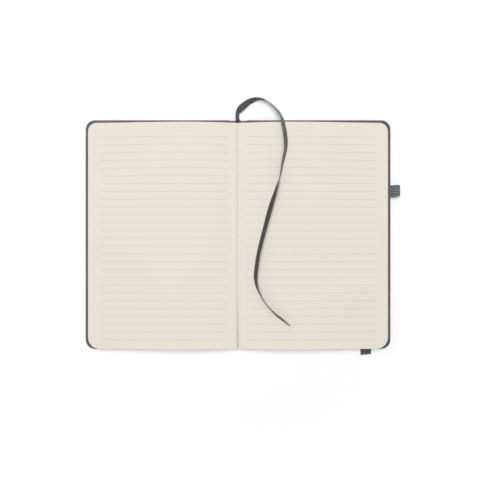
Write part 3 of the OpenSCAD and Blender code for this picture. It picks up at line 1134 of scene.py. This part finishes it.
wrap_finish, tree, shader = new_finish("coated_wrap", roughness=0.5, specular=0.4)
cells = tree.nodes.new("ShaderNodeTexVoronoi")
cells.inputs["Scale"].default_value = 1
tree.links.new(scaled_place(tree, "Object", GRAIN_PER_M), cells.inputs["Vector"])
worn = grain(tree, "Object", WEAR_PER_M)
paint(shader, blend_tones(tree, soft_step(tree, worn, WORN_FROM, WORN_TO), WRAP, WRAP_WORN))
tree.links.new(maths(tree, "MULTIPLY_ADD", worn, WEAR_ROUGHENS, SMOOTHEST),
               shader.inputs["Roughness"])
raise_by(tree, shader, maths(tree, "MULTIPLY_ADD", worn, WEAR_RAISES, cells.outputs["Distance"]),
         0.05 * MM)
dress([back_wrap, front_wrap], wrap_finish)
print("wrap finish on two halves")

# %% [markdown]
# ## Elastics and ribbon
# Elastic webbing shows ribs along its length, crossed by much finer weft threads. The ribs come from
# a sine across the map and the weft from one along it. The colour follows the same height: painted
# shade in the low places between ribs and weft, with noise for uneven fibres.

# %% Woven elastic
RIB_SHARE, WEFT_SHARE = 0.38, 0.12
WEAVE_SHARE, FUZZ_SHARE = 0.75, 0.3
WEFT_PER_MM = 2.2


def webbing(name, colour, valley_shade_and_fuzz, ribs_per_mm, depth):
    finish, tree, shader = new_finish(name, roughness=0.75, specular=0.25)
    shader.inputs["Sheen Weight"].default_value = 0.25
    place = axes(tree, "UV")
    ribs, weft = (
        maths(tree, "SINE", maths(tree, "MULTIPLY", place[axis], 2 * math.pi * per_mm))
        for axis, per_mm in (("X", ribs_per_mm), ("Y", WEFT_PER_MM)))
    height = maths(tree, "MULTIPLY_ADD", ribs, RIB_SHARE, 0.5)
    height = maths(tree, "MULTIPLY_ADD", weft, WEFT_SHARE, height)
    fuzz = grain(tree, "UV", (6, 3, 1), roughness=0.6)
    share = maths(tree, "ADD", maths(tree, "MULTIPLY", height, WEAVE_SHARE),
                  maths(tree, "MULTIPLY", fuzz, FUZZ_SHARE), clamp=True)
    # painted shade in the low places of the weave, mixed with uneven fibre tone from noise
    paint(shader, blend_tones(tree, share, valley_shade_and_fuzz, colour))
    raise_by(tree, shader, height, depth)
    return finish


loop_elastic = webbing("loop_elastic", tone(130, 134, 137), tone(46, 48, 51),
                       ribs_per_mm=0.42, depth=0.12 * MM)
band_elastic = webbing("band_elastic", tone(98, 100, 102), tone(48, 50, 52),
                       ribs_per_mm=0.45, depth=0.1 * MM)
dress([pen_loop], loop_elastic)
dress([band], band_elastic)
print("webbing on the loop and the band")

# %% [markdown]
# Satin shines on one side and is dull on the other, so the strip gets two finishes. Further along,
# where the tape lies in the shade of its own twist, that light and shade is painted into its colour:
# the wrong side is painted darker and the shiny side a little lighter.

# %% Satin of the ribbon
PAINTED_SHADING_FROM, PAINTED_SHADING_TO = 60 * MM, 150 * MM
WEFT_PITCH = 0.45 * MM
THREAD_SHARE = 0.3


def satin(name, thread, shadow, far_painted_shading, roughness, sheen):
    """Satin whose tone goes from thread and shadow at the spine to a painted tone further along, for
    how the light falls on the twisted tape.
    """
    finish, tree, shader = new_finish(name, roughness, specular=0.35)
    shader.inputs["Sheen Weight"].default_value = sheen
    weft = axes(tree, "UV", 2 * math.pi / WEFT_PITCH)["Y"]
    threads = maths(tree, "MULTIPLY_ADD", maths(tree, "SINE", weft), 0.5, 0.5)
    shade = grain(tree, "UV", (900, 120, 1))
    share = maths(tree, "ADD", maths(tree, "MULTIPLY", threads, THREAD_SHARE),
                  maths(tree, "MULTIPLY", shade, 1 - THREAD_SHARE), clamp=True)
    # painted light and shade along the tape: further along, the wrong side is painted darker and the
    # shiny side a little lighter
    along = soft_step(tree, axes(tree, "UV")["Y"], PAINTED_SHADING_FROM, PAINTED_SHADING_TO)
    colour = blend_tones(tree, share, shadow, thread)
    paint(shader, blend_tones(tree, along, colour, far_painted_shading))
    raise_by(tree, shader, threads, 0.03 * MM)
    return finish


shiny_satin = satin("ribbon_satin", tone(80, 86, 89), tone(62, 67, 69), tone(84, 88, 92),
                    roughness=0.5, sheen=0.15)
dull_satin = satin("ribbon_wrong_side", tone(88, 93, 95), tone(66, 70, 72), tone(50, 53, 54),
                   roughness=0.65, sheen=0.1)
dress([sewn_ribbon, ribbon], dull_satin, shiny_satin)
print("satin on both lengths of the ribbon")

# %% [markdown]
# ## Boards, endpapers and lining
# The boards, the card strip and the lining of the spine keep their CAD shape, because flat sheets
# need no more. They only get a better finish: grey board with flecks of waste paper, and open
# gauze. The endpapers get the paper of the leaves under a name of their own.

# %% Finishes for boards, lining and endpapers
GAUZE_PITCH = 0.8 * MM
FLECKS_PER_M = 900

board_finish, tree, shader = new_finish("grey_board", roughness=0.9, specular=0.15)
flecks = grain(tree, "Object", FLECKS_PER_M, detail=4, roughness=0.7)
paint(shader, blend_tones(tree, flecks, tone(150, 142, 128), tone(190, 183, 170)))
raise_by(tree, shader, flecks, 0.05 * MM)

dress([right_endpaper, left_endpaper], new_paper("endpaper")[0])

gauze_finish, tree, shader = new_finish("lining_gauze", roughness=0.9, specular=0.1)
warp = axes(tree, "Object", 2 * math.pi / GAUZE_PITCH)
threads = maths(tree, "MAXIMUM", maths(tree, "SINE", warp["X"]), maths(tree, "SINE", warp["Y"]))
paint(shader, blend_tones(tree, soft_step(tree, threads, 0.2, 0.8), tone(170, 164, 150),
                          tone(224, 220, 208)))
raise_by(tree, shader, threads, 0.05 * MM)

for node, finish in (("back_board", board_finish), ("front_board", board_finish),
                     ("spine_strip", board_finish), ("spine_lining", gauze_finish)):
    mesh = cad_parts[node].data
    mesh.materials.clear()
    mesh.materials.append(finish)
print("finishes on both endpapers and 4 CAD nodes")

# %% [markdown]
# ## Floor and light
# The book lies on a plain white table. The floor is nearly white by colour. What the camera sees
# of it gets a small glow on top, so that it turns pure white while the book still shades it, and
# further away the glow is strong enough to hide the horizon.

# %% Floor
FLOOR_Z = cad_box[0].z
GLOW = 0.11
GLOW_FROM, GLOW_TO = 0.15, 0.75


def seen_directly(tree):
    """1 for what the camera sees, also as a gloss, and 0 for the light that falls on things."""
    rays = tree.nodes.new("ShaderNodeLightPath")
    return maths(tree, "MAXIMUM", rays.outputs["Is Camera Ray"], rays.outputs["Is Glossy Ray"])


select_nothing()
bpy.ops.mesh.primitive_plane_add(size=4, location=(0, 0, FLOOR_Z))
floor = keep_place("floor")
table_finish, tree, shader = new_finish("white_table", roughness=0.9, specular=0.1)
shader.inputs["Base Color"].default_value = tone(243, 243, 243)
shader.inputs["Emission Color"].default_value = (1, 1, 1, 1)
away = tree.nodes.new("ShaderNodeVectorMath")
away.operation = "LENGTH"
tree.links.new(scaled_place(tree, "Object"), away.inputs[0])
glow = maths(tree, "ADD", soft_step(tree, away.outputs["Value"], GLOW_FROM, GLOW_TO), GLOW)
tree.links.new(maths(tree, "MULTIPLY", seen_directly(tree), glow),
               shader.inputs["Emission Strength"])
dress([floor], table_finish)
print("floor at", round(FLOOR_Z / MM, 2), "mm")

# %% [markdown]
# The light is a wide lamp high above, a little to the upper left, and an even pale world. Together
# they are just strong enough that a colour renders about as it is written.

# %% Light
LAMP_PLACE = Vector((-140, 420, 1700)) * MM
LAMP_SIZE = 0.9
LAMP_POWER = 22.3
WORLD_STRENGTH = 0.38

bpy.ops.object.light_add(type="AREA", location=LAMP_PLACE)
lamp = bpy.context.object
lamp.name = "wide_lamp"
lamp.data.size = LAMP_SIZE
lamp.data.energy = LAMP_POWER
lamp.rotation_euler = (-LAMP_PLACE).to_track_quat("-Z", "Y").to_euler()

world = bpy.data.worlds.new("pale_room")
world.use_nodes = True
sky = world.node_tree.nodes["Background"]
sky.inputs["Color"].default_value = (1, 1, 1, 1)
strength = maths(world.node_tree, "MULTIPLY_ADD", seen_directly(world.node_tree),
                 1 - WORLD_STRENGTH, WORLD_STRENGTH)
world.node_tree.links.new(strength, sky.inputs["Strength"])
bpy.context.scene.world = world
bpy.context.scene.view_settings.view_transform = "Standard"
print("lamp of", LAMP_POWER, "W and a world of strength", WORLD_STRENGTH)
